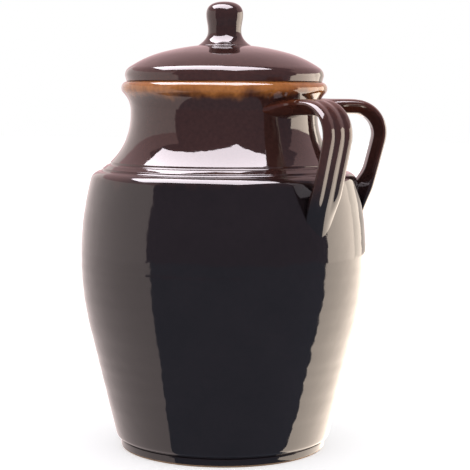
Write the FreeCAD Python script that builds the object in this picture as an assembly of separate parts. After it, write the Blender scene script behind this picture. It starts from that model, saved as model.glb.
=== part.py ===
import FreeCAD, Part
import math
import os

# A wheel-thrown stoneware bean pot: a tall jar with two ribbed strap handles side by side,
# a loose domed lid and a bulb knob. Sizes are in millimetres, Z is up, the pot is turned
# about the Z axis and stands on Z = 0. The handles lie to either side of +X.

# Foot
foot_height = 6.3
foot_round = 1.8
foot_ring_width = 9.0
foot_recess = 1.5

# Body outline, each rise counted from the level named before it
base_radius = 71.9
foot_step = 2.6
base_round = 2.2
round_pull = 0.6
belly_radius = 96.0
belly_height = 130.0
belly_curve = 206.0
shoulder_rise = 54.9
shoulder_round = 4.5
neck_radius = 62.7
neck_rise = 39.7
neck_straight = 2.6
rim_rise = 19.6
rim_overhang = 6.3
rim_round = 4.5

# Walls
wall = 5.6
floor_thickness = 8.0
inner_floor_round = 14.0
mouth_round = 2.4

# Lines cut into the shoulder, by their height above its corner
line_width = 1.9
line_depth = 0.7
shoulder_line_rises = (2.9, 7.2)

# Lid
lid_inset = 2.4
lid_edge_height = 7.8
lid_edge_slope = 1.1
lid_edge_round = 1.6
lid_edge_turn = 53.0
lid_crown_radius = 160.0
lid_crown_span = 42.0
lid_shoulder_radius = 72.0
lid_wall = 6.0
flange_depth = 10.0
flange_width = 5.0
flange_clearance = 1.2
flange_round = 1.5

# Knob
knob_radius = 12.3
knob_height = 28.2
knob_bulb_height = 19.6
knob_waist_radius = 11.1
knob_waist_height = 9.2
knob_foot_radius = 18.6
knob_foot_joint = 0.4
knob_flare_power = 2.2
knob_dome_power = 2.6
knob_steps = 5

# Handles: a flat strap with ribs along its outer face, in a plane through the pot's axis
handle_angle = 28.8
strap_width = 21.0
strap_thickness = 6.6
strap_top_thickness = 9.6
strap_corner = 2.4
strap_belly = 3.4
strap_belly_share = 0.4
rib_count = 3
rib_height = 1.3
rib_edge_drop = 1.5
handle_stand = 14.5
handle_top_drop = 11.0
handle_bend_radius = 22.5
handle_slope = 14.5
handle_landing_drop = 10.0
handle_root_rise = 11.0
handle_tail = 31.0
bend_lead = 6.0
bend_steps = 6
top_root_width = 32.0
top_root_flare = 1.2
top_root_swell = 1.1
top_root_near = 2.0
top_root_far = 9.0
lower_root_width = 22.0
tail_width = 12.0
tail_fullness = 0.7
tail_sink = 0.25
tail_steps = 4
landing_swell = 0.3

# Levels and places worked out from the sizes above
foot_radius = base_radius - foot_step
rim_radius = neck_radius + rim_overhang
lid_radius = rim_radius - lid_inset
handle_reach = belly_radius + handle_stand
shoulder_height = belly_height + shoulder_rise
neck_height = shoulder_height + neck_rise
neck_top = neck_height + neck_straight
rim_top = neck_top + rim_rise
mouth_radius = neck_radius - wall
land_radius = rim_radius - rim_round
flange_radius = mouth_radius - flange_clearance

TOUCH = 0.01
ORIGIN = FreeCAD.Vector(0, 0, 0)
UP = FreeCAD.Vector(0, 0, 1)


def point(radius, height):
    return FreeCAD.Vector(radius, 0, height)


def line(start, end):
    return Part.LineSegment(start, end).toShape()


def arc(start, middle, end):
    return Part.Arc(start, middle, end).toShape()


def arc_about(centre, start, end):
    """The shorter arc from start to end, turned about centre."""
    radius = (start - centre).Length
    half_way = (start - centre) + (end - centre)
    middle = centre + half_way.normalize() * radius
    return arc(start, middle, end)


def turned(edges):
    """A solid of revolution from a closed outline."""
    face = Part.Face(Part.Wire(edges))
    return face.revolve(ORIGIN, UP, 360)


def circle_radius_at(centre, radius, height, side):
    """Where a circle in the outline's plane crosses a height, on its outer (+1) or inner (-1) side."""
    return centre.x + side * math.sqrt(radius ** 2 - (height - centre.z) ** 2)


def belly_centre():
    return point(belly_radius - belly_curve, belly_height)


def shoulder_corner():
    return point(circle_radius_at(belly_centre(), belly_curve, shoulder_height, 1), shoulder_height)


def neck_curve():
    """Radius of the hollow sweep from the shoulder's corner up to the narrowest part of the neck."""
    inset = shoulder_corner().x - neck_radius
    return (neck_rise ** 2 + inset ** 2) / (2 * inset)


def neck_centre():
    return point(neck_radius + neck_curve(), neck_height)


def tangent_from(start, centre, radius):
    """Where a line from a point below just touches a circle on its right-hand side."""
    away = start - centre
    reach = away.Length
    lean = math.atan2(away.z, away.x) + math.acos(radius / reach)
    return point(centre.x + radius * math.cos(lean), centre.z + radius * math.sin(lean))


def crossing(centre_a, radius_a, centre_b, radius_b):
    """Lower crossing of two circles in the outline's plane."""
    between = centre_b - centre_a
    reach = between.Length
    along = (radius_a ** 2 - radius_b ** 2 + reach ** 2) / (2 * reach)
    across = math.sqrt(radius_a ** 2 - along ** 2)
    direction = between * (1 / reach)
    side = point(direction.z, -direction.x)
    return centre_a + direction * along + side * across


def body_outline(offset):
    """Belly and neck curves of the body, moved inwards by offset: the taper's foot, where it
    meets the belly's arc, the corner between belly and neck, and the narrowest level."""
    belly = belly_centre()
    neck = neck_centre()
    taper_foot = point(base_radius, foot_height)
    outer_touch = tangent_from(taper_foot, belly, belly_curve)
    inward = (belly - outer_touch).normalize() * offset
    corner = crossing(belly, belly_curve - offset, neck, neck_curve() + offset)
    narrowest = point(neck_radius - offset, neck_height)
    return taper_foot + inward, outer_touch + inward, corner, narrowest


def outer_edges():
    """Outside of the body from the foot's line up to the top of the rim."""
    taper_foot, touch, corner, narrowest = body_outline(0)
    start = point(foot_radius, foot_height)
    taper = (touch - taper_foot).normalize()
    below_round = taper_foot - point(base_round, 0)
    above_round = taper_foot + taper * base_round
    chord_middle = (below_round + above_round) * 0.5
    corner_mid = chord_middle + (taper_foot - chord_middle) * round_pull
    bead = point(land_radius, rim_top - rim_round)
    side = neck_radius - bead.x
    rise = bead.z - neck_top
    hollow = (rise ** 2 + side ** 2 - rim_round ** 2) / (2 * (rim_round - side))
    hollow_centre = point(neck_radius + hollow, neck_top)
    meet = bead + (hollow_centre - bead).normalize() * rim_round
    bead_side = point(rim_radius, bead.z)
    bead_top = point(bead.x, rim_top)
    return [
        line(start, below_round),
        arc(below_round, corner_mid, above_round),
        line(above_round, touch),
        arc_about(belly_centre(), touch, corner),
        arc_about(neck_centre(), corner, narrowest),
        line(narrowest, point(neck_radius, neck_top)),
        arc_about(hollow_centre, point(neck_radius, neck_top), meet),
        arc_about(bead, meet, bead_side),
        arc_about(bead, bead_side, bead_top),
    ]


def outer_solid():
    """The body as if it were solid clay, with its shoulder's corner softened."""
    foot_edge = foot_radius - foot_round
    round_centre = point(foot_edge, foot_round)
    edges = outer_edges()
    edges += [
        line(point(land_radius, rim_top), point(0, rim_top)),
        line(point(0, rim_top), ORIGIN),
        line(ORIGIN, point(foot_edge, 0)),
        arc_about(round_centre, point(foot_edge, 0), point(foot_radius, foot_round)),
        line(point(foot_radius, foot_round), point(foot_radius, foot_height)),
    ]
    solid = turned(edges)
    corner = shoulder_corner()
    rings = [
        edge
        for edge in solid.Edges
        if abs(edge.BoundBox.ZMax - corner.z) < TOUCH
        and abs(edge.BoundBox.ZMin - corner.z) < TOUCH
        and abs(edge.BoundBox.XMax - corner.x) < TOUCH
    ]
    return solid.makeFillet(shoulder_round, rings)


def inner_solid():
    """The hollow inside the body, run a little past the top of the rim."""
    taper_foot, touch, corner, narrowest = body_outline(wall)
    taper = (touch - taper_foot).normalize()
    floor_corner = taper_foot + taper * ((floor_thickness - taper_foot.z) / taper.z)
    on_floor = floor_corner - point(inner_floor_round, 0)
    on_wall = floor_corner + taper * inner_floor_round
    half_angle = taper.getAngle(point(-1, 0)) / 2
    round_radius = inner_floor_round * math.tan(half_angle)
    round_centre = on_floor + point(0, round_radius)
    above = rim_top + mouth_round
    edges = [
        line(point(0, floor_thickness), on_floor),
        arc_about(round_centre, on_floor, on_wall),
        line(on_wall, touch),
        arc_about(belly_centre(), touch, corner),
        arc_about(neck_centre(), corner, narrowest),
        line(narrowest, point(mouth_radius, rim_top - mouth_round)),
        arc_about(
            point(mouth_radius + mouth_round, rim_top - mouth_round),
            point(mouth_radius, rim_top - mouth_round),
            point(mouth_radius + mouth_round, rim_top),
        ),
        line(point(mouth_radius + mouth_round, rim_top), point(mouth_radius + mouth_round, above)),
        line(point(mouth_radius + mouth_round, above), point(0, above)),
        line(point(0, above), point(0, floor_thickness)),
    ]
    return turned(edges)


def incised_line(radius, height, lean):
    """A thin round-bottomed ring cut square to a surface whose outward normal leans up by lean."""
    tool = ((line_width / 2) ** 2 + line_depth ** 2) / (2 * line_depth)
    stand_off = tool - line_depth
    ring = radius + stand_off * math.cos(lean)
    return Part.makeTorus(ring, tool, point(0, height + stand_off * math.sin(lean)), UP)


def make_body():
    body = outer_solid().cut(inner_solid())
    for rise in shoulder_line_rises:
        height = shoulder_height + rise
        radius = circle_radius_at(neck_centre(), neck_curve(), height, -1)
        lean = math.asin((neck_height - height) / neck_curve())
        body = body.cut(incised_line(radius, height, lean))
    body = body.cut(incised_line(foot_radius, foot_height, 0))
    recess_radius = foot_radius - foot_ring_width
    recess = Part.makeCone(recess_radius, recess_radius - foot_recess, foot_recess)
    return body.cut(recess)


def lid_levels():
    """The lid's widest point, where its rounded edge ends, the centres of the two dome arcs and
    the point where those meet."""
    turn = math.radians(lid_edge_turn)
    edge_end = rim_top + lid_edge_height
    widest = point(lid_radius, edge_end - lid_edge_round * math.sin(turn))
    edge_top = point(lid_radius - lid_edge_round * (1 - math.cos(turn)), edge_end)
    outer_x = lid_crown_span * (1 - lid_shoulder_radius / lid_crown_radius)
    drop = math.sqrt(lid_shoulder_radius ** 2 - (edge_top.x - outer_x) ** 2)
    outer_centre = point(outer_x, edge_top.z - drop)
    meet = point(lid_crown_span, circle_height(outer_centre, lid_shoulder_radius, lid_crown_span))
    crown_centre = point(0, meet.z - math.sqrt(lid_crown_radius ** 2 - lid_crown_span ** 2))
    return widest, edge_top, outer_centre, meet, crown_centre


def lid_crown_centre():
    return lid_levels()[-1]


def make_lid_blank():
    """The lid without its flange and hollow, from its seat up to the crown."""
    widest, edge_top, outer_centre, meet, crown_centre = lid_levels()
    seat_edge = point(lid_radius - lid_edge_slope, rim_top)
    crown = point(0, crown_centre.z + lid_crown_radius)
    return turned([
        line(seat_edge, widest),
        arc_about(widest - point(lid_edge_round, 0), widest, edge_top),
        arc_about(outer_centre, edge_top, meet),
        arc_about(crown_centre, meet, crown),
        line(crown, point(0, rim_top)),
        line(point(0, rim_top), seat_edge),
    ])


def make_lid():
    """The lid rests on the rim's flat and a flange below it keeps it centred in the mouth."""
    bottom = rim_top - flange_depth
    core = rim_top + lid_edge_height / 2
    round_centre = point(flange_radius - flange_round, bottom + flange_round)
    round_start = point(flange_radius, round_centre.z)
    round_end = point(round_centre.x, bottom)
    flange = turned([
        line(point(flange_radius, core), round_start),
        arc_about(round_centre, round_start, round_end),
        line(round_end, point(0, bottom)),
        line(point(0, bottom), point(0, core)),
        line(point(0, core), point(flange_radius, core)),
    ])
    blank = make_lid_blank().fuse(flange).removeSplitter()
    bore = flange_radius - flange_width
    ceiling_radius = lid_crown_radius - lid_wall
    ceiling_centre = lid_crown_centre()
    ceiling_edge = point(bore, circle_height(ceiling_centre, ceiling_radius, bore))
    ceiling_top = point(0, ceiling_centre.z + ceiling_radius)
    below = bottom - lid_wall
    hollow = turned([
        line(point(0, below), point(bore, below)),
        line(point(bore, below), ceiling_edge),
        arc_about(ceiling_centre, ceiling_edge, ceiling_top),
        line(ceiling_top, point(0, below)),
    ])
    return blank.cut(hollow)


def circle_height(centre, radius, at_radius):
    return centre.z + math.sqrt(radius ** 2 - (at_radius - centre.x) ** 2)


def make_knob(lid_blank):
    """A bulb on a short flared stalk, seated on the lid's crown."""
    crown_centre = lid_crown_centre()
    crown = crown_centre.z + lid_crown_radius
    foot_level = circle_height(crown_centre, lid_crown_radius, knob_foot_radius) - knob_foot_joint
    waist_level = crown + knob_waist_height
    bulb_level = crown + knob_bulb_height
    dome = knob_height - knob_bulb_height
    shares = [step / knob_steps for step in range(knob_steps)]
    outline = []
    for share in shares:
        radius = knob_waist_radius + (knob_foot_radius - knob_waist_radius) * (1 - share) ** knob_flare_power
        outline.append(point(radius, foot_level + (waist_level - foot_level) * share))
    for share in shares:
        swell = (1 - math.cos(math.pi * share)) / 2
        radius = knob_waist_radius + (knob_radius - knob_waist_radius) * swell
        outline.append(point(radius, waist_level + (bulb_level - waist_level) * share))
    for share in shares:
        rise = math.sin(math.pi / 2 * share)
        radius = knob_radius * (1 - rise ** knob_dome_power) ** (1 / knob_dome_power)
        outline.append(point(radius, bulb_level + dome * rise))
    top = point(0, crown + knob_height)
    outline.append(top)
    profile = Part.BSplineCurve()
    foot_way = outline[1] - outline[0]
    profile.interpolate(Points=outline, InitialTangent=foot_way, FinalTangent=point(-knob_radius, 0))
    below = foot_level - lid_wall / 2
    solid = turned([
        profile.toShape(),
        line(top, point(0, below)),
        line(point(0, below), point(knob_foot_radius, below)),
        line(point(knob_foot_radius, below), outline[0]),
    ])
    return solid.cut(lid_blank)


def strap_section(outer_point, along, width, thickness):
    """One closed outline of the strap, square to its path: ribs outside, a rounded back inside."""
    across = FreeCAD.Vector(0, 1, 0)
    outward = along.cross(across).normalize()
    half = width / 2
    rib_width = width / rib_count
    valley = -rib_height * min(1, width / strap_width)
    edge = valley * rib_edge_drop
    back = min(strap_belly, thickness * strap_belly_share) - thickness
    corner = min(strap_corner, width / 4)

    def at(side, depth):
        return outer_point + across * side + outward * depth

    edges = []
    for index in range(rib_count):
        left = -half + index * rib_width
        right = left + rib_width
        left_level = valley if index else edge
        right_level = valley if index < rib_count - 1 else edge
        edges.append(arc(at(left, left_level), at((left + right) / 2, 0), at(right, right_level)))
    flank = (edge + back) / 2
    edges.append(arc(at(half, edge), at(half - corner / 8, flank), at(half - corner, back)))
    edges.append(arc(at(half - corner, back), at(0, -thickness), at(corner - half, back)))
    edges.append(arc(at(corner - half, back), at(corner / 8 - half, flank), at(-half, edge)))
    return Part.Wire(edges)


def belly_at(height):
    return point(circle_radius_at(belly_centre(), belly_curve, height, 1), height)


def strap_stations():
    """Stations along the strap from inside the neck round to its tail: a point on its outer
    face, the direction there, the width and the thickness."""
    top_level = rim_top - handle_top_drop
    bend_centre = point(handle_reach - handle_bend_radius, top_level - handle_bend_radius)
    level = point(1, 0)
    buried = point(neck_radius - wall, top_level)
    near = point(neck_radius + top_root_near, top_level)
    far = point(neck_radius + top_root_far, top_level)
    free = point(bend_centre.x - bend_lead, top_level)
    far_width = (top_root_width + strap_width * 2) / 3
    stations = [
        (buried, level, top_root_width * top_root_flare, strap_top_thickness * top_root_flare),
        (near, level, top_root_width, strap_top_thickness * top_root_swell),
        (far, level, far_width, strap_top_thickness),
        (free, level, strap_width, strap_top_thickness),
    ]
    for step in range(bend_steps + 1):
        share = step / bend_steps
        turn = math.radians((90 + handle_slope) * share)
        outward = point(math.sin(turn), math.cos(turn))
        along = point(math.cos(turn), -math.sin(turn))
        thickness = strap_top_thickness + (strap_thickness - strap_top_thickness) * share
        stations.append((bend_centre + outward * handle_bend_radius, along, strap_width, thickness))
    bend_end, down_slope = stations[-1][:2]
    landing_level = shoulder_height - handle_landing_drop
    landing = bend_end + down_slope * ((bend_end.z - landing_level) / -down_slope.z)
    above_landing = landing - down_slope * handle_root_rise
    stations.append(((bend_end + above_landing) * 0.5, down_slope, strap_width, strap_thickness))
    stations.append((above_landing, down_slope, strap_width, strap_thickness))
    landing_stand = landing.x - belly_at(landing_level).x
    root_turn = (down_slope + point(0, -1)).normalize()
    root_width = (strap_width + lower_root_width) / 2
    root_thickness = strap_thickness + landing_stand * landing_swell
    stations.append(((above_landing + landing) * 0.5, root_turn, root_width, root_thickness))
    for step in range(tail_steps + 1):
        share = step / tail_steps
        height = landing_level - handle_tail * share
        stand = landing_stand * (1 - share) ** tail_fullness - strap_thickness * share * tail_sink
        width = lower_root_width + (tail_width - lower_root_width) * share ** 2
        outer_point = belly_at(height) + point(stand, 0)
        stations.append((outer_point, point(0, -1), width, stand + strap_thickness))
    return stations


def make_handle(side, clay_body):
    """One strap, its two ends trimmed to the outside of the body, at its angle beside +X."""
    sections = [strap_section(*station) for station in strap_stations()]
    strap = Part.makeLoft(sections, True, False)
    strap.rotate(ORIGIN, UP, side * handle_angle)
    pieces = strap.cut(clay_body).Solids
    return max(pieces, key=lambda piece: piece.Volume)


def write(name, shape):
    if not shape.isValid() or len(shape.Solids) != 1:
        raise ValueError(name + " is not one valid solid")
    shape.exportStep("parts/" + name + ".step")
    box = shape.BoundBox
    litres = round(shape.Volume / 1e6, 3)
    print(name, litres, "litres of clay, top", round(box.ZMax, 2), "reach", round(box.XMax, 2))


os.makedirs("parts", exist_ok=True)
clay_body = outer_solid()
lid_blank = make_lid_blank()
write("pot_body", make_body())
write("handle_left", make_handle(-1, clay_body))
write("handle_right", make_handle(1, clay_body))
write("lid", make_lid())
write("lid_knob", make_knob(lid_blank))
print("holds", round(inner_solid().Volume / 1e6, 2), "litres to the brim")
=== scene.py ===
"""Dresses a packed stoneware bean pot: thrown body, ribbed strap handles, loose lid and knob."""

import math

import bmesh
import bpy
from bpy.props import FloatProperty, FloatVectorProperty, IntProperty, PointerProperty
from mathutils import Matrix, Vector


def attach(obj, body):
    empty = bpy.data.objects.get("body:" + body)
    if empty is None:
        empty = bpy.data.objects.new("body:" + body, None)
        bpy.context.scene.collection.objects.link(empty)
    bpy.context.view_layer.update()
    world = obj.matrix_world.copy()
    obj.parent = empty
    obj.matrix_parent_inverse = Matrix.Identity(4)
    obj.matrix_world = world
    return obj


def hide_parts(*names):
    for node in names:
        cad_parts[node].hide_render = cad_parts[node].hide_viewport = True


bl_info = {
    "name": "Stoneware Bean Pot",
    "version": (1, 0, 0),
    "blender": (4, 5, 0),
    "location": "View3D > Sidebar > Bean Pot",
    "description": "Models a glazed bean pot with two strap handles and a loose lid",
    "category": "Mesh",
}

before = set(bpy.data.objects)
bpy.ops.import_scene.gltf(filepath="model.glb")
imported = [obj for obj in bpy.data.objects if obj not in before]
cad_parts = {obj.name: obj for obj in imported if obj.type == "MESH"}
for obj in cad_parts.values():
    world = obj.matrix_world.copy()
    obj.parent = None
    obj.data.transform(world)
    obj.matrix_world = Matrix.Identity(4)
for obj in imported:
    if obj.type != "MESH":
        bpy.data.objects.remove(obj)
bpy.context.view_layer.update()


def length(name, default, description):
    """A size in metres that a user may change."""
    return FloatProperty(
        name=name, description=description, default=default, min=0.0,
        unit="LENGTH", subtype="DISTANCE", precision=4,
    )


def turn_angle(name, degrees, description):
    """An angle, given in degrees, that a user may change."""
    return FloatProperty(
        name=name, description=description, default=math.radians(degrees), unit="ROTATION", subtype="ANGLE"
    )


def share(name, default, description):
    """A plain factor that a user may change."""
    return FloatProperty(
        name=name, description=description, default=default, subtype="FACTOR", min=0.0, max=4.0
    )


def paint(name, default, description):
    """A colour that a user may change."""
    return FloatVectorProperty(
        name=name, description=description, default=default, size=3, subtype="COLOR", min=0.0, max=1.0
    )


class BeanPotBodySizes(bpy.types.PropertyGroup):
    """Sizes of the thrown jar"""

    foot_radius: length("Foot radius", 0.0693, "Outside of the turned foot")
    foot_height: length("Foot height", 0.0063, "Level of the line cut above the foot")
    foot_round: length("Foot round", 0.0018, "Rounding of the foot's lower edge")
    ring_width: length("Foot ring", 0.009, "Width of the ring that the pot stands on")
    recess: length("Recess", 0.0015, "Depth of the hollow under the foot")
    base_radius: length("Base radius", 0.0719, "Where the taper would meet the foot's line")
    base_round: length("Base round", 0.0022, "Rounding above the foot's line")
    belly_radius: length("Belly radius", 0.096, "Widest part of the body")
    belly_height: length("Belly height", 0.130, "Level of the widest part")
    belly_curve: length("Belly curve", 0.206, "Radius of the belly's upright curve")
    shoulder_height: length("Shoulder height", 0.1849, "Level of the shoulder's corner")
    shoulder_round: length("Shoulder round", 0.0018, "How far the softened corner reaches each way")
    neck_radius: length("Neck radius", 0.0627, "Narrowest part of the neck")
    neck_height: length("Neck height", 0.2246, "Level where the neck gets narrowest")
    neck_top: length("Neck top", 0.2272, "Level where the rim starts to flare")
    rim_top: length("Rim top", 0.2468, "Level of the rim")
    rim_radius: length("Rim radius", 0.069, "Outside of the rim")
    rim_round: length("Rim round", 0.0045, "Radius of the rim's bead")
    wall: length("Wall", 0.0056, "Thickness of the wall")
    floor: length("Floor", 0.008, "Thickness of the floor")
    floor_round: length("Floor round", 0.014, "Rounding between floor and wall inside")
    mouth_round: length("Mouth round", 0.0024, "Rounding of the mouth's inner edge")
    line_depth: length("Line depth", 0.0007, "Depth of the lines cut in the clay")
    line_width: length("Line width", 0.0019, "Width of the lines cut in the clay")
    lower_line: length("Lower line", 0.0029, "Height of the lower line above the shoulder's corner")
    upper_line: length("Upper line", 0.0072, "Height of the upper line above the shoulder's corner")
    ripple_depth: length("Ripple depth", 0.00007, "Height of the throwing marks")
    ripple_pitch: length("Ripple pitch", 0.0135, "Distance between throwing marks")
    rounds: IntProperty(name="Rounds", description="Steps round the wheel", default=180, min=24, max=360)


class BeanPotHandleSizes(bpy.types.PropertyGroup):
    """Sizes of the two straps"""

    angle: turn_angle("Angle", 28.8, "Angle of each strap beside the front")
    reach: length("Reach", 0.1105, "Outermost part of the strap from the pot's axis")
    top_drop: length("Top drop", 0.011, "Top of the strap below the rim")
    bend_radius: length("Bend radius", 0.0225, "Outside radius of the bend")
    slope: turn_angle("Slope", 14.5, "Lean of the strap's lower run towards the pot")
    landing_drop: length("Landing drop", 0.010, "Where the strap meets the belly, below the shoulder")
    root_rise: length("Root rise", 0.011, "Length over which the lower root spreads")
    tail: length("Tail", 0.031, "Length of the tail smoothed on to the belly")
    width: length("Width", 0.025, "Width of the strap")
    thickness: length("Thickness", 0.0078, "Thickness of the lower run at its middle")
    top_thickness: length("Top thickness", 0.0102, "Thickness at the top")
    rib_height: length("Rib height", 0.0008, "Height of the ribs")
    crown: length("Crown", 0.0005, "How far the ribbed face is rounded")
    belly: length("Rounded back", 0.0026, "How far the strap's back is rounded")
    top_root_width: length("Top root width", 0.032, "Width of the upper root on the neck")
    lower_root_width: length("Lower root width", 0.0255, "Width of the lower root")
    tail_width: length("Tail width", 0.018, "Width of the tail's end")


class BeanPotLidSizes(bpy.types.PropertyGroup):
    """Sizes of the lid and its knob"""

    radius: length("Radius", 0.0666, "Outside of the lid")
    edge_height: length("Edge height", 0.0092, "Height of the lid's upright edge")
    edge_slope: length("Edge slope", 0.0011, "How far the edge leans out")
    edge_round: length("Edge round", 0.0065, "Rounding of the upper edge")
    edge_turn: turn_angle("Edge turn", 53.0, "How far the rounded edge turns")
    crown_radius: length("Crown radius", 0.160, "Radius of the crown's curve")
    crown_span: length("Crown span", 0.042, "Where crown and shoulder curves meet")
    shoulder_radius: length("Shoulder radius", 0.072, "Radius of the curve near the edge")
    wall: length("Wall", 0.006, "Thickness of the lid")
    flange_radius: length("Flange radius", 0.0559, "Outside of the flange that sits in the mouth")
    flange_width: length("Flange width", 0.005, "Thickness of the flange")
    flange_depth: length("Flange depth", 0.010, "Depth of the flange below the seat")
    flange_round: length("Flange round", 0.0015, "Rounding of the flange")
    knob_radius: length("Knob radius", 0.0123, "Widest part of the bulb")
    knob_height: length("Knob height", 0.0282, "Height of the knob above the crown")
    bulb_height: length("Bulb height", 0.0196, "Widest level of the bulb above the crown")
    waist_radius: length("Waist radius", 0.0111, "Narrowest part under the bulb")
    waist_height: length("Waist height", 0.0092, "Level of the narrowest part above the crown")
    knob_foot: length("Knob foot", 0.0186, "Radius of the flare on the crown")
    rounds: IntProperty(name="Rounds", description="Steps round the wheel", default=144, min=24, max=360)


class BeanPotColours(bpy.types.PropertyGroup):
    """Colours of glaze and clay"""

    dark: paint("Thick glaze", (0.0105, 0.0072, 0.0085), "Glaze where it lies thick")
    brown: paint("Brown glaze", (0.050, 0.020, 0.017), "Glaze on shoulders and lid")
    red: paint("Thin glaze", (0.095, 0.024, 0.012), "Glaze where it runs thin on ribs and edges")
    honey: paint("Honey glaze", (0.36, 0.105, 0.020), "Glaze on the rim and inside")
    pale_honey: paint("Pale honey", (0.58, 0.235, 0.062), "Thinnest glaze on the rim's edge")
    clay: paint("Clay", (0.44, 0.29, 0.18), "Bare fired clay")
    gloss: share("Roughness", 0.055, "Roughness of the glaze")


class BeanPotStageSizes(bpy.types.PropertyGroup):
    """Camera, floor and studio lights"""

    view_angle: turn_angle("View angle", 20.5, "Camera's angle round the pot")
    distance: length("Distance", 1.0, "Camera's distance from the pot's axis")
    height: length("Height", 0.2398, "Camera's height")
    pitch: turn_angle("Pitch", 5.504, "Camera's angle below level")
    roll: turn_angle("Roll", 0.3, "Camera's lean")
    lens: FloatProperty(name="Lens", description="Focal length in millimetres", default=113.5, unit="CAMERA")
    shift: FloatProperty(name="Shift", description="Sideways shift of the view", default=0.0243)
    floor_size: length("Floor size", 12.0, "Side of the floor")


def sizes(group):
    """One group of the sizes kept in the scene."""
    return getattr(bpy.context.scene, "bean_pot_" + group)


def between(start, end, count):
    """Points along a straight line, without its start."""
    return [
        (start[0] + (end[0] - start[0]) * i / count, start[1] + (end[1] - start[1]) * i / count)
        for i in range(1, count + 1)
    ]


def round_about(centre, start, end, count):
    """Points along the shorter arc about a centre, without its start."""
    first = math.atan2(start[1] - centre[1], start[0] - centre[0])
    last = math.atan2(end[1] - centre[1], end[0] - centre[0])
    sweep = (last - first + math.pi) % (2 * math.pi) - math.pi
    radius = math.hypot(start[0] - centre[0], start[1] - centre[1])
    return [
        (
            centre[0] + radius * math.cos(first + sweep * i / count),
            centre[1] + radius * math.sin(first + sweep * i / count),
        )
        for i in range(1, count + 1)
    ]


def bent(start, corner, end, first=1, count=8):
    """Points along a curve from one point to another, drawn towards a corner."""
    return [
        tuple((1 - t) ** 2 * a + 2 * t * (1 - t) * b + t * t * c for a, b, c in zip(start, corner, end))
        for t in [i / count for i in range(first, count + 1)]
    ]


def belly_reach(body, height, inset=0.0):
    """Radius of the belly's outside, or of a line inset from it, at a height."""
    curve = body.belly_curve - inset
    return body.belly_radius - body.belly_curve + math.sqrt(curve**2 - (height - body.belly_height) ** 2)


def neck_sweep(body):
    """Centre and radius of the hollow curve from the shoulder up to the neck."""
    drop = body.neck_height - body.shoulder_height
    inset = belly_reach(body, body.shoulder_height) - body.neck_radius
    radius = (drop**2 + inset**2) / (2 * inset)
    return (body.neck_radius + radius, body.neck_height), radius


def neck_reach(body, height, inset=0.0):
    """Radius of the hollow curve above the shoulder, or of a line inset from it, at a height."""
    centre, radius = neck_sweep(body)
    curve = radius + inset
    return centre[0] - math.sqrt(curve**2 - (height - centre[1]) ** 2)


def taper_touch(body):
    """Where the straight taper from the foot meets the belly's curve."""
    centre = (body.belly_radius - body.belly_curve, body.belly_height)
    away = (body.base_radius - centre[0], body.foot_height - centre[1])
    reach = math.hypot(*away)
    lean = math.atan2(away[1], away[0]) + math.acos(body.belly_curve / reach)
    return centre[0] + body.belly_curve * math.cos(lean), centre[1] + body.belly_curve * math.sin(lean)


def inner_corner(body):
    """Height where the inner lines of belly and neck cross."""
    low, high = body.shoulder_height - body.wall * 1.5, body.shoulder_height + body.wall
    for _ in range(40):
        middle = (low + high) / 2
        if belly_reach(body, middle, body.wall) < neck_reach(body, middle, body.wall):
            high = middle
        else:
            low = middle
    return (low + high) / 2


def rippled(body, points):
    """The outline with the faint rings that fingers leave on the wheel."""
    moved = []
    for radius, height in points:
        phase = 2 * math.pi * height / body.ripple_pitch
        ripple = math.sin(phase + 1.7 * math.sin(phase * 0.23)) + 0.5 * math.sin(phase * 1.87 + 1.0)
        fade = min(1.0, max(0.0, (height - 0.016) / 0.012)) * min(1.0, max(0.0, (0.178 - height) / 0.012))
        moved.append((radius + body.ripple_depth * ripple * fade, height))
    return moved


def cut_line(points, body, height, lean):
    """The outline with a thin rounded line cut where it passes a height."""
    cut = []
    half = body.line_width / 2
    for radius, level in points:
        away = (level - height) / half
        deep = body.line_depth * math.sqrt(1 - away**2) if abs(away) < 1 else 0.0
        cut.append((radius - deep * math.cos(lean), level - deep * math.sin(lean)))
    return cut


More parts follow.
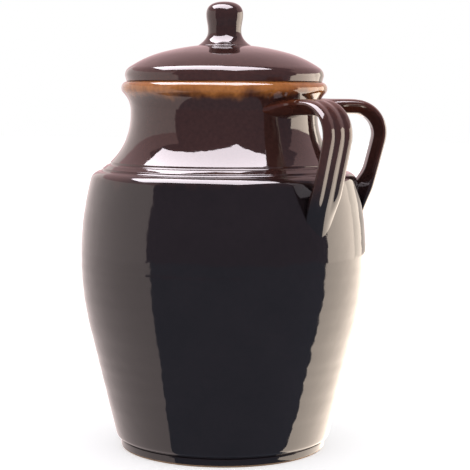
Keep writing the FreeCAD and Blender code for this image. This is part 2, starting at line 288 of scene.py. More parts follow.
def body_outline(body):
    """Section of the body from the middle of its underside round its outside and back inside."""
    foot_edge = body.foot_radius - body.foot_round
    ring_inside = body.foot_radius - body.ring_width
    under = [(0.0, body.recess)]
    under += between(under[-1], (ring_inside - body.recess, body.recess), 8)
    under += between(under[-1], (ring_inside, 0.0), 3)
    under += between(under[-1], (foot_edge, 0.0), 4)
    under += round_about((foot_edge, body.foot_round), under[-1], (body.foot_radius, body.foot_round), 6)
    side_top = body.foot_height - body.line_width / 2
    under += between(under[-1], (body.foot_radius, side_top), 4)
    under += [
        (body.foot_radius - body.line_depth * math.sin(math.pi * i / 8), side_top + body.line_width * i / 8)
        for i in range(1, 8)
    ]

    touch = taper_touch(body)
    slope = (touch[0] - body.base_radius, touch[1] - body.foot_height)
    reach = math.hypot(*slope)
    slope = (slope[0] / reach, slope[1] / reach)
    round_end = (
        body.base_radius + slope[0] * body.base_round * 1.6,
        body.foot_height + slope[1] * body.base_round * 1.6,
    )
    round_start = (body.base_radius - body.base_round * 0.9, body.foot_height + body.line_width * 0.45)
    knee = (body.base_radius, body.foot_height + body.line_width * 0.3)
    soft = bent(round_start, knee, round_end, first=0)
    wall = soft + between(soft[-1], touch, 30)

    corner = (belly_reach(body, body.shoulder_height), body.shoulder_height)
    belly_centre = (body.belly_radius - body.belly_curve, body.belly_height)
    below = body.shoulder_height - body.shoulder_round * 1.5
    below_corner = (belly_reach(body, below), below)
    wall += round_about(belly_centre, touch, below_corner, 46)
    wall = rippled(body, wall)

    above = body.shoulder_height + body.shoulder_round
    above_corner = (neck_reach(body, above), above)
    edge = bent(below_corner, corner, above_corner)
    neck_centre, neck_curve = neck_sweep(body)
    fine = round_about(neck_centre, above_corner, (neck_reach(body, above + 0.0075), above + 0.0075), 40)
    for rise in (body.lower_line, body.upper_line):
        level = body.shoulder_height + rise
        fine = cut_line(fine, body, level, math.asin((body.neck_height - level) / neck_curve))
    rising = round_about(neck_centre, fine[-1], (body.neck_radius, body.neck_height), 26)
    rising += between(rising[-1], (body.neck_radius, body.neck_top), 2)

    bead = (body.rim_radius - body.rim_round, body.rim_top - body.rim_round)
    side = body.neck_radius - bead[0]
    rise = bead[1] - body.neck_top
    hollow = (rise**2 + side**2 - body.rim_round**2) / (2 * (body.rim_round - side))
    hollow_centre = (body.neck_radius + hollow, body.neck_top)
    span = math.hypot(hollow_centre[0] - bead[0], hollow_centre[1] - bead[1])
    meet = (
        bead[0] + (hollow_centre[0] - bead[0]) / span * body.rim_round,
        bead[1] + (hollow_centre[1] - bead[1]) / span * body.rim_round,
    )
    rim = round_about(hollow_centre, rising[-1], meet, 12)
    rim += round_about(bead, meet, (body.rim_radius, bead[1]), 5)
    rim += round_about(bead, rim[-1], (bead[0], body.rim_top), 9)

    mouth = body.neck_radius - body.wall
    mouth_centre = (mouth + body.mouth_round, body.rim_top - body.mouth_round)
    inside = between(rim[-1], (mouth_centre[0], body.rim_top), 3)
    inside += round_about(mouth_centre, inside[-1], (mouth, mouth_centre[1]), 6)
    inside += between(inside[-1], (mouth, body.neck_height), 6)
    inner = inner_corner(body)
    inner_curve = neck_curve + body.wall
    inner_point = (belly_reach(body, inner, body.wall), inner)
    inside += round_about(neck_centre, inside[-1], (neck_reach(body, inner, body.wall), inner), 14)
    normal = (slope[1] * body.wall, -slope[0] * body.wall)
    inner_touch = (touch[0] - normal[0], touch[1] - normal[1])
    inside += round_about(belly_centre, inner_point, inner_touch, 24)
    foot_inside = (body.base_radius - normal[0], body.foot_height - normal[1])
    along = (body.floor - foot_inside[1]) / slope[1]
    floor_corner = (foot_inside[0] + slope[0] * along, body.floor)
    wall_end = (floor_corner[0] + slope[0] * body.floor_round, floor_corner[1] + slope[1] * body.floor_round)
    floor_start = (floor_corner[0] - body.floor_round, body.floor)
    inside += between(inside[-1], wall_end, 14)
    inside += bent(wall_end, floor_corner, floor_start)
    inside += between(inside[-1], (0.0, body.floor), 8)
    return under + wall + edge + fine + rising + rim + inside


def clear_selection():
    """Leaves edit mode and selects nothing."""
    if bpy.context.object and bpy.context.object.mode != "OBJECT":
        bpy.ops.object.mode_set(mode="OBJECT")
    bpy.ops.object.select_all(action="DESELECT")


def new_piece(name):
    """Names the primitive just added and its mesh."""
    piece = bpy.context.object
    piece.name = name
    piece.data.name = name
    return piece


def pick(piece, test, mode="VERT"):
    """Selects, in edit mode, the vertices, edges or faces whose place or normal passes a test."""
    bpy.ops.mesh.select_mode(type=mode)
    mesh = bmesh.from_edit_mesh(piece.data)
    for item in list(mesh.verts) + list(mesh.edges) + list(mesh.faces):
        item.select = False
    chosen = {"VERT": mesh.verts, "EDGE": mesh.edges, "FACE": mesh.faces}[mode]
    count = 0
    for item in chosen:
        if test(item):
            item.select = True
            count += 1
    mesh.select_flush_mode()
    bmesh.update_edit_mesh(piece.data)
    if not count:
        raise RuntimeError("nothing of " + piece.name + " is there to select")


def throw(name, outline, rounds):
    """Draws an outline from a single point and spins it round the pot's axis."""
    clear_selection()
    start = outline[0]
    bpy.ops.mesh.primitive_plane_add(size=0.001, location=(start[0], 0, start[1]))
    piece = new_piece(name)
    bpy.ops.object.transform_apply(location=True, rotation=True, scale=True)
    bpy.ops.object.mode_set(mode="EDIT")
    bpy.ops.mesh.select_mode(type="VERT")
    bpy.ops.mesh.select_all(action="SELECT")
    bpy.ops.mesh.merge(type="CENTER")
    for here, there in zip(outline, outline[1:]):
        step = (there[0] - here[0], 0, there[1] - here[1])
        bpy.ops.mesh.extrude_region_move(TRANSFORM_OT_translate={"value": step})
    bpy.ops.mesh.select_all(action="SELECT")
    bpy.ops.mesh.spin(steps=rounds, angle=2 * math.pi, center=(0, 0, 0), axis=(0, 0, 1))
    bpy.ops.mesh.select_all(action="SELECT")
    bpy.ops.mesh.remove_doubles(threshold=0.00002)
    bpy.ops.mesh.select_all(action="SELECT")
    bpy.ops.mesh.normals_make_consistent(inside=False)
    bpy.ops.object.mode_set(mode="OBJECT")
    bpy.ops.object.shade_smooth()
    return piece


def finish_with(piece, material, places=()):
    """Gives a piece its main material, then others on the faces that pass each test."""
    clear_selection()
    piece.select_set(True)
    bpy.context.view_layer.objects.active = piece
    piece.data.materials.clear()
    piece.data.materials.append(material)
    for other, test in places:
        piece.data.materials.append(other)
        bpy.ops.object.mode_set(mode="EDIT")
        pick(piece, test, "FACE")
        piece.active_material_index = len(piece.data.materials) - 1
        bpy.ops.object.material_slot_assign()
        bpy.ops.object.mode_set(mode="OBJECT")


def node_maker(tree):
    """A function that adds a node and sets or links its inputs by name."""

    def make(kind, settings=None, **inputs):
        made = tree.nodes.new(kind)
        for key, value in (settings or {}).items():
            setattr(made, key, value)
        for key, value in inputs.items():
            by_number = key[0] == "i" and key[1:].isdigit()
            socket = made.inputs[int(key[1:]) if by_number else key.replace("_", " ")]
            if isinstance(value, bpy.types.NodeSocket):
                tree.links.new(value, socket)
            else:
                socket.default_value = value
        return made

    return make


def new_material(name):
    """A material with its principled shader linked, and what adds nodes to it."""
    material = bpy.data.materials.new(name)
    material.use_nodes = True
    tree = material.node_tree
    tree.nodes.clear()
    make = node_maker(tree)
    shader = make("ShaderNodeBsdfPrincipled")
    output = make("ShaderNodeOutputMaterial")
    tree.links.new(shader.outputs["BSDF"], output.inputs["Surface"])
    return material, tree, make, shader


def colour(value):
    """Red, green and blue with full alpha."""
    return (value[0], value[1], value[2], 1.0)


def blended(make, share_of, first, second):
    """Mixes two colours by a share."""
    mix = make("ShaderNodeMix", {"data_type": "RGBA"}, i0=share_of, i6=first, i7=second)
    return mix.outputs[2]


def glaze(name, base, thin, honey_from, honey_to, thin_from, thin_to, crest=0.0, dark_below=None):
    """Glossy glaze: thick and dark, redder towards thin places and honey brown near the rim."""
    colours = sizes("colours")
    material, tree, make, shader = new_material(name)
    place = make("ShaderNodeTexCoord").outputs["Object"]
    level = make("ShaderNodeSeparateXYZ", i0=place).outputs["Z"]

    cloudy = make("ShaderNodeTexNoise", Vector=place, Scale=26.0, Detail=4.0, Roughness=0.55).outputs["Fac"]
    drawn = make("ShaderNodeMapping", Vector=place, Scale=(1.0, 1.0, 0.22)).outputs["Vector"]
    runs = make("ShaderNodeTexNoise", Vector=drawn, Scale=70.0, Detail=3.0, Roughness=0.6).outputs["Fac"]
    specks = make("ShaderNodeTexNoise", Vector=place, Scale=420.0, Detail=2.0).outputs["Fac"]

    def between_levels(low, high, wander):
        shifted = make(
            "ShaderNodeMath", {"operation": "MULTIPLY_ADD"}, i0=runs, i1=wander, i2=level
        ).outputs[0]
        centred = make("ShaderNodeMath", {"operation": "SUBTRACT"}, i0=shifted, i1=wander / 2).outputs[0]
        return make(
            "ShaderNodeMapRange", {"interpolation_type": "SMOOTHSTEP"},
            Value=centred, i1=low, i2=high, i3=0.0, i4=1.0,
        ).outputs[0]

    patches = make("ShaderNodeMapRange", Value=cloudy, i1=0.35, i2=0.75, i3=0.0, i4=0.55).outputs[0]
    tone = blended(make, patches, colour(base), colour([c * 1.7 for c in base]))
    thinness = between_levels(thin_from, thin_to, 0.02)
    tone = blended(make, thinness, tone, colour(thin))
    if crest:
        bent = make("ShaderNodeNewGeometry").outputs["Pointiness"]
        ridge = make("ShaderNodeMapRange", Value=bent, i1=0.5, i2=0.53, i3=0.0, i4=crest).outputs[0]
        tone = blended(make, ridge, tone, colour(colours.red))
    # Darker towards the lower end: below the given levels the tone blends into the dark colour.
    if dark_below:
        tone = blended(make, between_levels(dark_below[0], dark_below[1], 0.01), colour(colours.dark), tone)
    honey = between_levels(honey_from, honey_to, 0.016)
    streaked = blended(make, runs, colour(colours.honey), colour(colours.pale_honey))
    tone = blended(make, honey, tone, streaked)
    speckled = make("ShaderNodeMapRange", Value=specks, i1=0.25, i2=0.75, i3=0.82, i4=1.16).outputs[0]
    dotted = make("ShaderNodeVectorMath", {"operation": "SCALE"}, i0=tone, Scale=speckled).outputs[0]
    tree.links.new(dotted, shader.inputs["Base Color"])

    smear = make("ShaderNodeTexNoise", Vector=place, Scale=95.0, Detail=3.0).outputs["Fac"]
    rough = make(
        "ShaderNodeMapRange", Value=smear, i1=0.3, i2=0.8, i3=colours.gloss * 0.6, i4=colours.gloss * 1.9
    ).outputs[0]
    tree.links.new(rough, shader.inputs["Roughness"])
    shader.inputs["IOR"].default_value = 1.56

    wide = make("ShaderNodeMapping", Vector=place, Scale=(1.0, 1.0, 1.6)).outputs["Vector"]
    waves = make("ShaderNodeTexNoise", Vector=wide, Scale=32.0, Detail=2.0, Roughness=0.45).outputs["Fac"]
    uneven = make("ShaderNodeBump", Strength=1.0, Distance=0.0004, Height=waves).outputs[0]
    peel = make("ShaderNodeTexNoise", Vector=place, Scale=260.0, Detail=1.5).outputs["Fac"]
    skin = make("ShaderNodeBump", Strength=0.35, Distance=0.00006, Height=peel, Normal=uneven).outputs[0]
    cells = make("ShaderNodeTexVoronoi", {"feature": "F1"}, Vector=place, Scale=85.0, Randomness=1.0)
    pits = make(
        "ShaderNodeMapRange", Value=cells.outputs["Distance"], i1=0.03, i2=0.07, i3=0.0, i4=1.0
    ).outputs[0]
    pitted = make("ShaderNodeBump", Strength=0.35, Distance=0.0001, Height=pits, Normal=skin).outputs[0]
    tree.links.new(pitted, shader.inputs["Normal"])
    return material


def bare_clay():
    """Unglazed buff stoneware with darker grit."""
    colours = sizes("colours")
    material, tree, make, shader = new_material("bare_clay")
    place = make("ShaderNodeTexCoord").outputs["Object"]
    soft = make("ShaderNodeTexNoise", Vector=place, Scale=60.0, Detail=5.0).outputs["Fac"]
    grit = make("ShaderNodeTexVoronoi", Vector=place, Scale=380.0).outputs["Distance"]
    specks = make("ShaderNodeMapRange", Value=grit, i1=0.05, i2=0.2, i3=0.55, i4=0.0).outputs[0]
    darker, paler = [colour([c * part for c in colours.clay]) for part in (0.78, 1.15)]
    tone = blended(make, soft, darker, paler)
    tone = blended(make, specks, tone, colour([c * 0.35 for c in colours.clay]))
    tree.links.new(tone, shader.inputs["Base Color"])
    rough = make("ShaderNodeMapRange", Value=soft, i1=0.2, i2=0.8, i3=0.68, i4=0.9).outputs[0]
    tree.links.new(rough, shader.inputs["Roughness"])
    bump = make("ShaderNodeBump", Strength=0.6, Distance=0.0002, Height=grit).outputs[0]
    tree.links.new(bump, shader.inputs["Normal"])
    return material


class BEANPOT_OT_body(bpy.types.Operator):
    """Throw the jar and glaze it"""

    bl_idname = "beanpot.body"
    bl_label = "Throw the Body"

    def execute(self, context):
        body = sizes("body")
        colours = sizes("colours")
        piece = throw("thrown_body", body_outline(body), body.rounds)
        brown = glaze(
            "body_glaze", colours.dark, colours.brown, body.neck_top + 0.0078, body.rim_top - 0.003,
            body.shoulder_height - 0.006, body.shoulder_height + 0.006,
        )
        inside = glaze(
            "inside_glaze", [c * 0.55 for c in colours.honey], colours.honey, 0.20, body.rim_top, 0.12, 0.21,
        )
        clay = bare_clay()
        limit = body.rim_top - body.rim_round
        mouth = body.neck_radius - body.wall
        bare = body.recess + 0.0002

        def is_inside(face):
            centre = face.calc_center_median()
            reach = math.hypot(centre.x, centre.y)
            inward = face.normal.x * centre.x + face.normal.y * centre.y
            height = centre.z
            hollow = inward < 0 and reach < body.belly_radius and height > body.floor and height < limit
            return hollow or (face.normal.z > 0.3 and body.floor - 0.0002 < height < body.floor + 0.012)

        def is_foot(face):
            return face.calc_center_median().z < bare and face.normal.z < -0.2

        def is_seat(face):
            centre = face.calc_center_median()
            reach = math.hypot(centre.x, centre.y)
            return centre.z > body.rim_top - 0.0004 and mouth < reach < body.rim_radius - 0.006

        finish_with(piece, brown, ((inside, is_inside), (clay, is_foot), (clay, is_seat)))
        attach(piece, "pot")
        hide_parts("pot_body")
        return {"FINISHED"}


RIBS_PER_HALF = 1.5
EDGE_SHARE = 0.97
EDGE_DROP = 1.7
ON_COLUMN = 0.0001
ON_STATION = 0.00002


def face_drop(across, ribs, crown):
    """How far the strap's face lies below its middle line, across from -1 to 1."""
    within = (across + 1) * RIBS_PER_HALF % 1.0 * 2 - 1 if across < 1 else 1.0
    edge = EDGE_DROP if abs(across) > EDGE_SHARE else 1.0
    return ribs * within**2 * edge + crown * across**2


def strap_path(body, handle):
    """Stations along the strap: point on its face, turn from level, width, thickness, ribs, crown."""
    top = body.rim_top - handle.top_drop
    bend_x = handle.reach - handle.bend_radius
    bend_z = top - handle.bend_radius
    wide, plain, ribs, flat = handle.top_root_width, handle.width, handle.rib_height, handle.crown
    thick = handle.top_thickness
    neck = body.neck_radius
    stations = [
        (neck - body.wall * 0.85, top + 0.0022, 0.0, wide * 1.26, thick * 1.6, 0.0, 0.0078),
        (neck - 0.0018, top + 0.0016, 0.0, wide * 1.18, thick * 1.45, 0.0, 0.0070),
        (neck + 0.0006, top + 0.0010, 0.0, wide * 1.06, thick * 1.32, ribs * 0.15, 0.0054),
        (neck + 0.0034, top + 0.0004, 0.0, wide * 0.92, thick * 1.2, ribs * 0.4, 0.0036),
        (neck + 0.0072, top + 0.0001, 0.0, wide * 0.79, thick * 1.08, ribs * 0.75, 0.0020),
        (neck + 0.0120, top, 0.0, wide * 0.70, thick * 1.01, ribs, 0.0007),
        (bend_x - 0.006, top, 0.0, plain, thick, ribs, flat),
    ]
    steps = 9
    full = math.pi / 2 + handle.slope
    for step in range(steps + 1):
        turn = full * step / steps
        now = thick + (handle.thickness - thick) * step / steps
        x, z = bend_x + handle.bend_radius * math.sin(turn), bend_z + handle.bend_radius * math.cos(turn)
        stations.append((x, z, turn, plain, now, ribs, flat))
    end_x, end_z = stations[-1][:2]
    down = (math.cos(full), -math.sin(full))
    landing_z = body.shoulder_height - handle.landing_drop
    run = (end_z - landing_z) / -down[1]
    landing_x = end_x + down[0] * run
    above = run - handle.root_rise
    for portion in (0.35, 0.7, 1.0):
        x, z = end_x + down[0] * above * portion, end_z + down[1] * above * portion
        stations.append((x, z, full, plain, handle.thickness, ribs, flat))
    stand = landing_x - belly_reach(body, landing_z)
    half = (above + run) / 2
    half_turn = (full + math.pi / 2) / 2
    half_width = (plain + handle.lower_root_width) / 2
    x, z = end_x + down[0] * half, end_z + down[1] * half
    stations.append((x, z, half_turn, half_width, handle.thickness + stand * 0.3, ribs * 0.95, flat * 1.3))
    for step in range(11):
        portion = step / 10
        height = landing_z - handle.tail * portion
        proud = stand * (1 - portion) ** 1.35 * (1 - 0.25 * portion) - 0.0010 * portion
        width = handle.lower_root_width + (handle.tail_width - handle.lower_root_width) * portion**2
        crown = flat * 1.5 + 0.0030 * min(1.0, portion * 2.2)
        stations.append((
            belly_reach(body, height) + proud, height, math.pi / 2, width, proud + 0.0048,
            ribs * max(0.0, 1 - portion * 2.2), crown,
        ))
    return stations


def pull_strap(body, handle):
    """One strap in the XZ plane, its ribbed section extruded from the neck round to the belly."""
    stations = strap_path(body, handle)
    x, z, turn, width, thickness, ribs, crown = stations[0]
    columns, rows = 12, 3
    across = [column / columns * 2 - 1 for column in range(columns + 1)]
    clear_selection()
    bpy.ops.mesh.primitive_grid_add(
        x_subdivisions=rows, y_subdivisions=columns, size=1, location=(x, 0, z - thickness / 2),
        rotation=(0, -math.pi / 2, 0),
    )
    piece = new_piece("strap")
    piece.scale = (thickness, width, 1)
    bpy.ops.object.transform_apply(location=True, rotation=True, scale=True)
    bpy.ops.object.mode_set(mode="EDIT")
    drops = []
    for part in across:
        drop = face_drop(part, ribs, crown)
        rise = handle.belly * part**2 * thickness / handle.thickness
        place = part * width / 2
        pick(piece, lambda v: abs(v.co.y - place) < ON_COLUMN)
        left = (thickness - drop - rise) / thickness
        bpy.ops.transform.resize(value=(1, 1, left), center_override=(x, place, z))
        bpy.ops.transform.translate(value=(0, 0, -drop))
        drops.append(drop)
    pick(piece, lambda v: True)
    for before, after in zip(stations, stations[1:]):
        step = (after[0] - before[0], 0, after[1] - before[1])
        bpy.ops.mesh.extrude_region_move(TRANSFORM_OT_translate={"value": step})
        here = Vector((after[0], 0, after[1]))
        turned = after[2] - before[2]
        if abs(turned) > 1e-6:
            bpy.ops.transform.rotate(
                value=-turned, orient_axis="Y", orient_type="GLOBAL", center_override=here
            )
        thicker = after[4] / before[4]
        bpy.ops.transform.resize(value=(thicker, after[3] / before[3], thicker), center_override=here)
        along = Vector((math.cos(after[2]), 0, -math.sin(after[2])))
        outward = Vector((math.sin(after[2]), 0, math.cos(after[2])))
        for index, part in enumerate(across):
            wanted = face_drop(part, after[5], after[6])
            move = drops[index] * thicker - wanted
            drops[index] = wanted
            if abs(move) > 1e-6:
                place = part * after[3] / 2
                pick(piece, lambda v: abs(v.co.y - place) < ON_COLUMN
                     and abs((v.co - here).dot(along)) < ON_STATION)
                bpy.ops.transform.translate(value=outward * move)
        pick(piece, lambda v: abs((v.co - here).dot(along)) < ON_STATION)
    bpy.ops.mesh.select_all(action="SELECT")
    bpy.ops.mesh.normals_make_consistent(inside=False)
    bpy.ops.object.mode_set(mode="OBJECT")
    smooth = piece.modifiers.new("smooth", "SUBSURF")
    smooth.levels = smooth.render_levels = 2
    bpy.ops.object.modifier_apply(modifier=smooth.name)
    bpy.ops.object.shade_smooth()
    return piece


class BEANPOT_OT_handles(bpy.types.Operator):
    """Pull the two ribbed straps and set them on the neck and belly"""

    bl_idname = "beanpot.handles"
    bl_label = "Pull the Handles"

    def execute(self, context):
        body, handle = sizes("body"), sizes("handles")
        colours = sizes("colours")
        strap = pull_strap(body, handle)
        # The strap is darker towards its lower end, from around the shoulder down.
        coat = glaze(
            "handle_glaze", colours.brown, colours.red, 0.300, 0.320, 0.2215, 0.2375, crest=0.8,
            dark_below=(body.shoulder_height - 0.020, body.shoulder_height + 0.016),
        )
        for name, side in (("handle_left", -1), ("handle_right", 1)):
            clear_selection()
            piece = strap.copy()
            piece.data = strap.data.copy()
            piece.name = name + "_strap"
            piece.data.name = piece.name
            bpy.context.collection.objects.link(piece)
            piece.select_set(True)
            bpy.context.view_layer.objects.active = piece
            piece.rotation_euler = (0, 0, side * handle.angle)
            bpy.ops.object.transform_apply(location=True, rotation=True, scale=True)
            finish_with(piece, coat)
            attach(piece, "pot")
            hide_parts(name)
        bpy.data.objects.remove(strap, do_unlink=True)
        return {"FINISHED"}


def lid_curve(lid, rim_top):
    """Widest point, end of the rounded edge, the two dome centres and where the domes meet."""
    end = rim_top + lid.edge_height
    widest = (lid.radius, end - lid.edge_round * math.sin(lid.edge_turn))
    edge_top = (lid.radius - lid.edge_round * (1 - math.cos(lid.edge_turn)), end)
    outer_x = lid.crown_span * (1 - lid.shoulder_radius / lid.crown_radius)
    outer = (outer_x, edge_top[1] - math.sqrt(lid.shoulder_radius**2 - (edge_top[0] - outer_x) ** 2))
    meet = (lid.crown_span, outer[1] + math.sqrt(lid.shoulder_radius**2 - (lid.crown_span - outer_x) ** 2))
    centre = (0.0, meet[1] - math.sqrt(lid.crown_radius**2 - lid.crown_span**2))
    return widest, edge_top, outer, meet, centre


def lid_outline(lid, rim_top):
    """Section of the lid from the middle of its crown round its edge and back under its hollow."""
    widest, edge_top, outer, meet, centre = lid_curve(lid, rim_top)
    points = [(0.0, centre[1] + lid.crown_radius)]
    points += round_about(centre, points[-1], meet, 26)
    points += round_about(outer, meet, edge_top, 22)
    points += round_about((widest[0] - lid.edge_round, widest[1]), edge_top, widest, 8)
    points += between(widest, (lid.radius - lid.edge_slope, rim_top), 6)
    points += between(points[-1], (lid.flange_radius, rim_top), 5)
    bottom = rim_top - lid.flange_depth
    outside = lid.flange_radius
    bore = lid.flange_radius - lid.flange_width
    points += between(points[-1], (outside, bottom + lid.flange_round), 5)
    round_centre = (outside - lid.flange_round, bottom + lid.flange_round)
    points += round_about(round_centre, points[-1], (round_centre[0], bottom), 5)
    points += between(points[-1], (bore, bottom), 3)
    ceiling = lid.crown_radius - lid.wall
    ceiling_edge = (bore, centre[1] + math.sqrt(ceiling**2 - bore**2))
    points += between(points[-1], ceiling_edge, 8)
    points += round_about(centre, ceiling_edge, (0.0, centre[1] + ceiling), 22)
    return points


def knob_outline(lid, rim_top):
    """Section of the knob from the middle of its foot, up its flare and round its bulb."""
    centre = lid_curve(lid, rim_top)[-1]
    crown = centre[1] + lid.crown_radius
    foot = centre[1] + math.sqrt(lid.crown_radius**2 - lid.knob_foot**2) - 0.0004
    waist = crown + lid.waist_height
    bulb = crown + lid.bulb_height
    dome = lid.knob_height - lid.bulb_height
    flare_power, dome_power = 2.35, 2.45
    points = [(0.0, foot)] + between((0.0, foot), (lid.knob_foot, foot), 4)
    for step in range(1, 15):
        part = step / 14
        radius = lid.waist_radius + (lid.knob_foot - lid.waist_radius) * (1 - part) ** flare_power
        points.append((radius, foot + (waist - foot) * part))
    for step in range(1, 13):
        part = step / 12
        swell = (1 - math.cos(math.pi * part)) / 2
        radius = lid.waist_radius + (lid.knob_radius - lid.waist_radius) * swell
        points.append((radius, waist + (bulb - waist) * part))
    for step in range(1, 15):
        part = math.sin(math.pi / 2 * step / 14)
        radius = lid.knob_radius * max(0.0, 1 - part**dome_power) ** (1 / dome_power)
        points.append((radius, bulb + dome * part))
    return points


class BEANPOT_OT_lid(bpy.types.Operator):
    """Throw the lid with the flange that keeps it in the mouth"""

    bl_idname = "beanpot.lid"
    bl_label = "Throw the Lid"

    def execute(self, context):
        body, lid = sizes("body"), sizes("lid")
        colours = sizes("colours")
        piece = throw("domed_lid", lid_outline(lid, body.rim_top), lid.rounds)
        coat = glaze(
            "lid_glaze", [c * 1.1 for c in colours.brown], colours.brown, 0.400, 0.420, 0.252, 0.262
        )
        under = glaze(
            "lid_underside_glaze", [c * 0.5 for c in colours.honey], colours.honey, 0.30, 0.32, 0.225, 0.262
        )
        clay = bare_clay()
        seat = body.rim_top + 0.0003

        bore = lid.flange_radius - lid.flange_width + 0.0002

        def is_under(face):
            centre = face.calc_center_median()
            return math.hypot(centre.x, centre.y) < bore and face.normal.z < 0.05

        def is_seat(face):
            centre = face.calc_center_median()
            return math.hypot(centre.x, centre.y) > bore and centre.z < seat

        finish_with(piece, coat, ((under, is_under), (clay, is_seat)))
        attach(piece, "lid")
        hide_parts("lid")
        return {"FINISHED"}


class BEANPOT_OT_knob(bpy.types.Operator):
    """Turn the bulb knob on its flared stalk"""

    bl_idname = "beanpot.knob"
    bl_label = "Turn the Knob"

    def execute(self, context):
        body, lid = sizes("body"), sizes("lid")
        colours = sizes("colours")
        piece = throw("bulb_knob", knob_outline(lid, body.rim_top), 72)
        coat = glaze(
            "knob_glaze", [c * 0.8 for c in colours.brown], colours.brown, 0.400, 0.420, 0.272, 0.300
        )
        finish_with(piece, coat)
        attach(piece, "lid")
        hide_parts("lid_knob")
        return {"FINISHED"}


# Lights: tint, brightness that the glaze reflects, light that it throws
CARD_LIGHTS = {
    "softbox_light": ((1.0, 0.91, 0.98), 15.0, 1.3),
    "dark_room": ((0.58, 0.52, 0.66), 0.42, 0.0),
    "dark_floor": ((0.50, 0.58, 0.75), 0.42, 0.0),
    "tan_board": ((1.0, 0.85, 0.72), 5.0, 0.6),
    "tan_far": ((1.0, 0.86, 0.73), 3.4, 0.4),
    "tan_dim": ((1.0, 0.87, 0.77), 1.1, 0.2),
    "tan_floor": ((1.0, 0.85, 0.72), 4.5, 0.0),
    "grey_wall": ((1.0, 0.85, 0.83), 1.38, 0.2),
    "grey_floor": ((1.0, 0.85, 0.83), 1.30, 0.0),
    "wall_behind": ((0.95, 0.64, 0.66), 1.05, 0.0),
}

# Upright cards: reach, top, first and last direction right of the camera, light, whether it throws light
UPRIGHT_CARDS = {
    "dark_screen": (1.4, 1.3, -61, 89, "dark_room", False),
    "tan_screen": (1.3, 0.50, 88, 126, "tan_board", True),
    "tan_far_screen": (1.3, 0.50, 126, 144, "tan_far", True),
    "tan_dim_screen": (1.3, 0.50, 144, 164, "tan_dim", False),
    "grey_screen": (1.3, 0.70, -162, -60, "grey_wall", True),
    "room_screen": (1.42, 1.3, 89, 299, "wall_behind", False),
}
UPRIGHT_FOOT = -0.01

# Flat cards: start ahead of and right of the pot, direction, reach, spread, height, light, throws light
FLAT_CARDS = {
    "softbox": ((-0.639, -0.750), 61, 1.65, -0.87, 1.15, "softbox_light", True),
    "dark_mat": ((-1.4, -1.4), 0, 2.8, 2.8, 0.0002, "dark_floor", False),
    "tan_mat": ((0.064, 0.045), 88, 1.3, 1.4, 0.0006, "tan_floor", False),
    "grey_mat": ((0.747, -1.143), 121.6, 2.6, 1.6, 0.0004, "grey_floor", False),
    "roof": ((-1.5, -1.5), 0, 3.0, 3.0, 1.29, "dark_room", False),
    "back_roof": ((-0.35, -1.4), 90, 2.8, 1.2, 1.28, "wall_behind", False),
}


def light_card(name, tint, seen, cast):
    """Material of a card: how bright the glaze reflects it, and how much light it throws."""
    material = bpy.data.materials.new(name)
    material.use_nodes = True
    tree = material.node_tree
    tree.nodes.clear()
    make = node_maker(tree)
    path = make("ShaderNodeLightPath")
    strength = make(
        "ShaderNodeMapRange", Value=path.outputs["Is Glossy Ray"], i1=0.0, i2=1.0, i3=cast, i4=seen
    ).outputs[0]
    glow = make("ShaderNodeEmission", Color=colour(tint), Strength=strength)
    output = make("ShaderNodeOutputMaterial")
    tree.links.new(glow.outputs[0], output.inputs["Surface"])
    return material


def seen_directly(make):
    """1 for rays from the camera, off gloss and through glass, 0 for those that light things."""
    path = make("ShaderNodeLightPath")
    shown = path.outputs["Is Camera Ray"]
    for kind in ("Is Glossy Ray", "Is Transmission Ray"):
        shown = make("ShaderNodeMath", {"operation": "MAXIMUM"}, i0=shown, i1=path.outputs[kind]).outputs[0]
    return shown


def beside(stage, degrees, reach, height):
    """A place round the pot: degrees to the right of the camera, as the pot sees it."""
    angle = stage.view_angle + math.radians(degrees)
    return (math.sin(angle) * reach, -math.cos(angle) * reach, height)


def screen(name, stage, reach, low, high, start, end, material):
    """An upright curved card round the pot between two directions."""
    clear_selection()
    bpy.ops.mesh.primitive_circle_add(vertices=180, radius=reach, location=(0, 0, low))
    card = new_piece(name)
    bpy.ops.object.transform_apply(location=True, rotation=True, scale=True)

    def outside(edge):
        middle = (edge.verts[0].co + edge.verts[1].co) / 2
        way = math.degrees(math.atan2(middle.x, -middle.y) - stage.view_angle)
        return (way - start) % 360 > (end - start)

    bpy.ops.object.mode_set(mode="EDIT")
    pick(card, outside, "EDGE")
    bpy.ops.mesh.delete(type="EDGE")
    bpy.ops.mesh.select_all(action="SELECT")
    bpy.ops.mesh.extrude_region_move(TRANSFORM_OT_translate={"value": (0, 0, high - low)})
    bpy.ops.object.mode_set(mode="OBJECT")
    card.data.materials.append(material)
    return card


def flat_card(name, stage, start, degrees, reach, spread, lift, material):
    """A level card: one edge runs from a point in a direction, and the card spreads to its left."""
    clear_selection()
    bpy.ops.mesh.primitive_plane_add(size=1, location=(reach / 2, spread / 2, 0))
    card = new_piece(name)
    card.scale = (reach, abs(spread), 1)
    bpy.ops.object.transform_apply(location=True, rotation=True, scale=True)
    toward = stage.view_angle - math.pi / 2
    ahead = Vector((math.cos(toward), math.sin(toward), 0))
    right = Vector((-ahead.y, ahead.x, 0))
    card.rotation_euler = (0, 0, toward + math.radians(degrees))
    card.location = ahead * start[0] + right * start[1] + Vector((0, 0, lift))
    bpy.ops.object.transform_apply(location=True, rotation=True, scale=True)
    card.data.materials.append(material)
    return card


def reflected_only(card, throws_light=False):
    """Leaves a card to reflections, and to lighting where it throws light."""
    card.visible_camera = False
    card.visible_diffuse = throws_light
    card.visible_shadow = False
    card.visible_transmission = False
    card.visible_volume_scatter = False


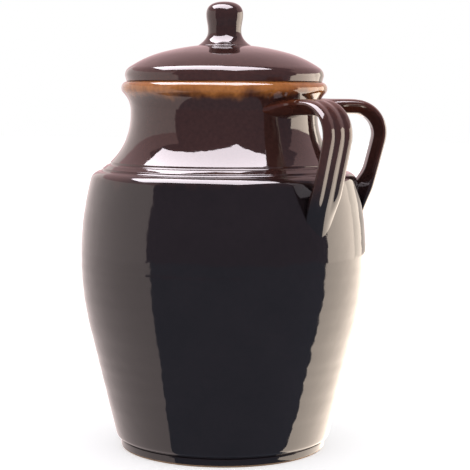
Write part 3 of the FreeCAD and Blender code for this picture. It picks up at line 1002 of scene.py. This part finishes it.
class BEANPOT_OT_stage(bpy.types.Operator):
    """Lay the floor, hang the studio cards and set the camera"""

    bl_idname = "beanpot.stage"
    bl_label = "Set the Stage"

    def execute(self, context):
        stage = sizes("stage")
        scene = context.scene
        scene.view_settings.view_transform = "Standard"

        clear_selection()
        bpy.ops.mesh.primitive_plane_add(size=stage.floor_size)
        floor = new_piece("floor")
        material, tree, make, shader = new_material("pale_floor")
        shown = seen_directly(make)
        shader.inputs["Base Color"].default_value = (0.88, 0.88, 0.88, 1)
        shader.inputs["Roughness"].default_value = 0.9
        shader.inputs["Emission Color"].default_value = (1, 1, 1, 1)
        lift = make("ShaderNodeMath", {"operation": "MULTIPLY"}, i0=shown, i1=0.5).outputs[0]
        tree.links.new(lift, shader.inputs["Emission Strength"])
        floor.data.materials.append(material)

        world = bpy.data.worlds.new("studio")
        scene.world = world
        world.use_nodes = True
        tree = world.node_tree
        tree.nodes.clear()
        make = node_maker(tree)
        shown = seen_directly(make)
        strength = make("ShaderNodeMapRange", Value=shown, i1=0.0, i2=1.0, i3=0.8, i4=1.0).outputs[0]
        sky = make("ShaderNodeBackground", Color=(1, 1, 1, 1), Strength=strength)
        output = make("ShaderNodeOutputWorld")
        tree.links.new(sky.outputs[0], output.inputs["Surface"])

        lights = {name: light_card(name, *values) for name, values in CARD_LIGHTS.items()}
        for name, (reach, top, first, last, light, throws) in UPRIGHT_CARDS.items():
            card = screen(name, stage, reach, UPRIGHT_FOOT, top, first, last, lights[light])
            reflected_only(card, throws)
        for name, (corner, degrees, reach, spread, height, light, throws) in FLAT_CARDS.items():
            card = flat_card(name, stage, corner, degrees, reach, spread, height, lights[light])
            reflected_only(card, throws)

        clear_selection()
        back = Vector(beside(stage, 0, stage.distance, 0))
        bpy.ops.object.camera_add(
            location=(back.x, back.y, stage.height),
            rotation=(math.pi / 2 - stage.pitch, 0, stage.view_angle),
        )
        camera = context.object
        camera.name = "camera"
        camera.rotation_euler.rotate_axis("Z", stage.roll)
        camera.data.lens = stage.lens
        camera.data.shift_x = stage.shift
        scene.camera = camera
        return {"FINISHED"}


class BEANPOT_PT_panel(bpy.types.Panel):
    """Buttons that build the bean pot"""

    bl_idname = "BEANPOT_PT_panel"
    bl_label = "Bean Pot"
    bl_space_type = "VIEW_3D"
    bl_region_type = "UI"
    bl_category = "Bean Pot"

    def draw(self, context):
        for group in GROUPS:
            box = self.layout.box()
            box.label(text=GROUPS[group].__doc__)
            settings = sizes(group)
            for key in GROUPS[group].__annotations__:
                box.prop(settings, key)
        for operator in OPERATORS:
            self.layout.operator(operator.bl_idname)


GROUPS = {
    "body": BeanPotBodySizes,
    "handles": BeanPotHandleSizes,
    "lid": BeanPotLidSizes,
    "colours": BeanPotColours,
    "stage": BeanPotStageSizes,
}
OPERATORS = (BEANPOT_OT_body, BEANPOT_OT_handles, BEANPOT_OT_lid, BEANPOT_OT_knob, BEANPOT_OT_stage)


def register():
    for group, kind in GROUPS.items():
        bpy.utils.register_class(kind)
        setattr(bpy.types.Scene, "bean_pot_" + group, PointerProperty(type=kind))
    for operator in OPERATORS:
        bpy.utils.register_class(operator)
    bpy.utils.register_class(BEANPOT_PT_panel)


def unregister():
    bpy.utils.unregister_class(BEANPOT_PT_panel)
    for operator in reversed(OPERATORS):
        bpy.utils.unregister_class(operator)
    for group in reversed(GROUPS):
        delattr(bpy.types.Scene, "bean_pot_" + group)
        bpy.utils.unregister_class(GROUPS[group])


def main():
    register()
    bpy.ops.beanpot.body()
    bpy.ops.beanpot.handles()
    bpy.ops.beanpot.lid()
    bpy.ops.beanpot.knob()
    bpy.ops.beanpot.stage()


if __name__ == "__main__":
    main()
